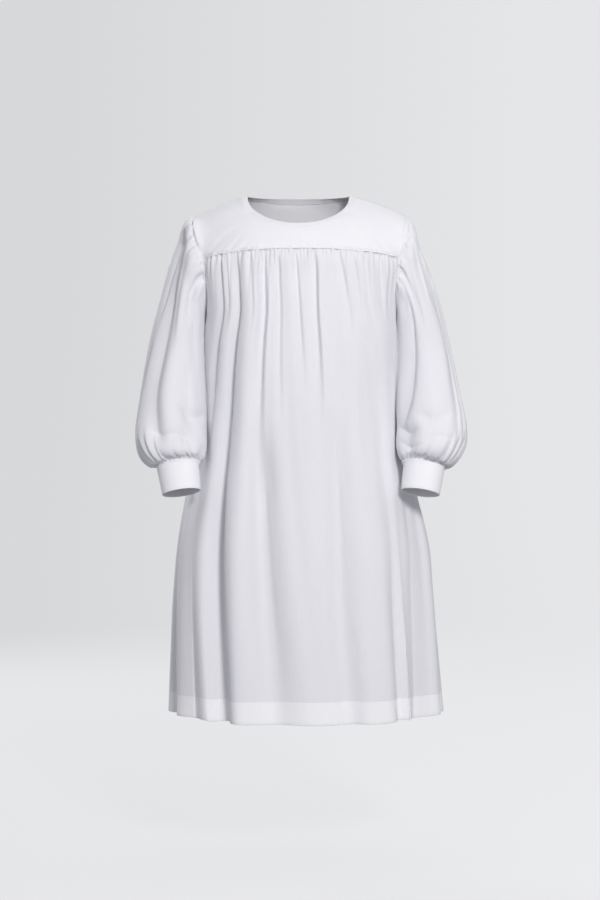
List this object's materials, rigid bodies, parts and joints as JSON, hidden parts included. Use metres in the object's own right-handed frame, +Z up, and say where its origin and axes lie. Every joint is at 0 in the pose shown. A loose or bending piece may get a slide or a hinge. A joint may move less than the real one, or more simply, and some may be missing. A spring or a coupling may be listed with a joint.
{
  "type": "rochet",
  "caption": "White rochet worn open and hollow: round yoke with a banded neck, full body gathered into the yoke, deep hem, and bishop sleeves gathered into plain cuffs.",
  "frame": {"origin": "midway between the shoulders, level with the points where the neckline meets the shoulder line", "axes": "+Z up along the garment's length, -Y the way the wearer faces, +X the wearer's left"},
  "size_m": [0.742, 0.425, 1.164],
  "materials": {
    "cloth": "fine plain weave of polyester and cotton, matt with a faint sheen, pressed"
  },
  "bodies": {
    "root": {"neck_band": "cloth", "front_yoke": "cloth", "back_yoke": "cloth", "front_panel": "cloth", "back_panel": "cloth", "left_sleeve": "cloth", "left_cuff": "cloth", "right_sleeve": "cloth", "right_cuff": "cloth"}
  },
  "joints": []
}
